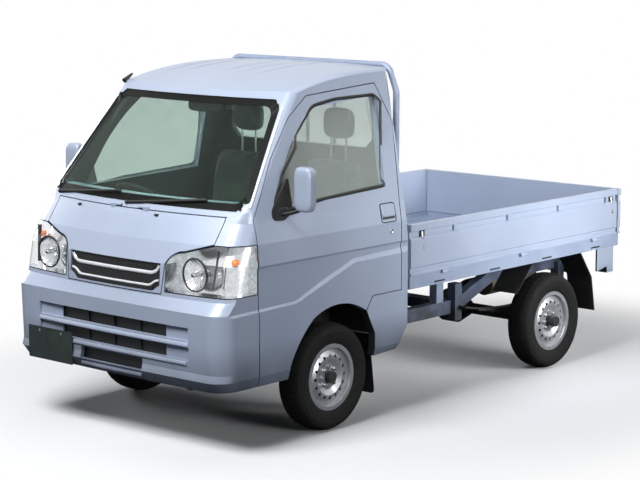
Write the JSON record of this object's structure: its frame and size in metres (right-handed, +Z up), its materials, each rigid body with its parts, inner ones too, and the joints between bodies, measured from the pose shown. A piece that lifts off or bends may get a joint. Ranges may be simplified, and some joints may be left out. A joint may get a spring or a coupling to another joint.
{
  "type": "kei truck",
  "caption": "Small cab-over pickup truck with a drop-side cargo bed, steered front wheels, opening doors, gates and front hood.",
  "frame": {"origin": "on the floor under the middle of the overall length", "axes": "+Z up, the front faces -Y, +X is the vehicle's left side"},
  "size_m": [1.736, 3.395, 1.7948],
  "materials": {
    "body_paint": "metallic gloss",
    "chassis": "satin",
    "black_steel": "matte",
    "hub_steel": "matte",
    "alloy": "cast",
    "muffler_steel": "dull",
    "bright_steel": "satin",
    "wheel_steel": "satin silver",
    "tyre_rubber": "matte",
    "window_glass": "clear with a green tint",
    "lamp_lens": "clear",
    "tail_lens": "gloss",
    "dark_plastic": "matte",
    "cabin_plastic": "grained",
    "seat_cloth": "woven",
    "flap_rubber": "matte"
  },
  "bodies": {
    "chassis": {"ladder_frame": "chassis", "rear_axle": "black_steel", "leaf_springs": "black_steel", "front_suspension": "black_steel", "engine_block": "alloy", "propeller_shaft": "black_steel", "fuel_tank": "black_steel", "exhaust": "muffler_steel", "cargo_deck": "body_paint", "rope_hooks": "bright_steel", "headboard": "body_paint", "cab_shell": "body_paint", "windscreen": "window_glass", "rear_window": "window_glass", "headlamp_left": "lamp_lens", "headlamp_right": "lamp_lens", "front_bumper": "body_paint", "bumper_grille": "dark_plastic", "seat_left": "seat_cloth", "seat_right": "seat_cloth", "dashboard": "cabin_plastic", "steering_column": "cabin_plastic", "wipers": "dark_plastic", "antenna": "bright_steel", "number_plates": "dark_plastic", "rear_beam": "chassis", "rear_lamps": "tail_lens", "mud_guards": "flap_rubber"},
    "wheel_front_left": {"rim_front_left": "wheel_steel", "tyre_front_left": "tyre_rubber"},
    "wheel_front_right": {"rim_front_right": "wheel_steel", "tyre_front_right": "tyre_rubber"},
    "wheel_rear_left": {"rim_rear_left": "wheel_steel", "tyre_rear_left": "tyre_rubber"},
    "wheel_rear_right": {"rim_rear_right": "wheel_steel", "tyre_rear_right": "tyre_rubber"},
    "hub_left": {"knuckle_left": "hub_steel"},
    "side_door_left": {"door_left": "body_paint", "door_glass_left": "window_glass", "mirror_left": "body_paint"},
    "side_gate_left": {"gate_left": "body_paint"},
    "hub_right": {"knuckle_right": "hub_steel"},
    "side_door_right": {"door_right": "body_paint", "door_glass_right": "window_glass", "mirror_right": "body_paint"},
    "side_gate_right": {"gate_right": "body_paint"},
    "rear_gate": {"tailgate": "body_paint"},
    "service_hood": {"hood": "body_paint", "grille": "dark_plastic"},
    "handwheel": {"steering_wheel": "dark_plastic"}
  },
  "joints": [
    {"name": "steer_left", "type": "hinge", "parent": "chassis", "child": "hub_left", "pos_m": [0.6, -0.8675, 0.271], "axis": [0, 0, 1], "range_deg": [-35, 35]},
    {"name": "front_wheel_left", "type": "hinge", "parent": "hub_left", "child": "wheel_front_left", "pos_m": [0.6525, -0.8675, 0.271], "axis": [1, 0, 0], "continuous": true},
    {"name": "rear_wheel_left", "type": "hinge", "parent": "chassis", "child": "wheel_rear_left", "pos_m": [0.6525, 1.0325, 0.271], "axis": [1, 0, 0], "continuous": true},
    {"name": "door_hinge_left", "type": "hinge", "parent": "chassis", "child": "side_door_left", "pos_m": [0.7345, -1.3925, 0.8], "axis": [0, 0, -1], "range_deg": [0, 65]},
    {"name": "gate_hinge_left", "type": "hinge", "parent": "chassis", "child": "side_gate_left", "pos_m": [0.732, 0.6325, 0.69], "axis": [0, 1, 0], "range_deg": [0, 170]},
    {"name": "steer_right", "type": "hinge", "parent": "chassis", "child": "hub_right", "pos_m": [-0.6, -0.8675, 0.271], "axis": [0, 0, 1], "range_deg": [-35, 35]},
    {"name": "front_wheel_right", "type": "hinge", "parent": "hub_right", "child": "wheel_front_right", "pos_m": [-0.6525, -0.8675, 0.271], "axis": [1, 0, 0], "continuous": true},
    {"name": "rear_wheel_right", "type": "hinge", "parent": "chassis", "child": "wheel_rear_right", "pos_m": [-0.6525, 1.0325, 0.271], "axis": [1, 0, 0], "continuous": true},
    {"name": "door_hinge_right", "type": "hinge", "parent": "chassis", "child": "side_door_right", "pos_m": [-0.7345, -1.3925, 0.8], "axis": [0, 0, 1], "range_deg": [0, 65]},
    {"name": "gate_hinge_right", "type": "hinge", "parent": "chassis", "child": "side_gate_right", "pos_m": [-0.732, 0.6325, 0.69], "axis": [0, -1, 0], "range_deg": [0, 170]},
    {"name": "tailgate_hinge", "type": "hinge", "parent": "chassis", "child": "rear_gate", "pos_m": [0, 1.692, 0.69], "axis": [-1, 0, 0], "range_deg": [0, 170]},
    {"name": "hood_hinge", "type": "hinge", "parent": "chassis", "child": "service_hood", "pos_m": [0, -1.5475, 1.135], "axis": [-1, 0, 0], "range_deg": [0, 50]},
    {"name": "steering_turn", "type": "hinge", "parent": "chassis", "child": "handwheel", "pos_m": [-0.32, -1.1175, 1.06], "axis": [0, 0.6428, 0.766], "range_deg": [-560, 560]}
  ],
  "couplings": [
    {"joint": "steer_right", "follows": "steer_left", "ratio": 1},
    {"joint": "steering_turn", "follows": "steer_left", "ratio": 16}
  ]
}
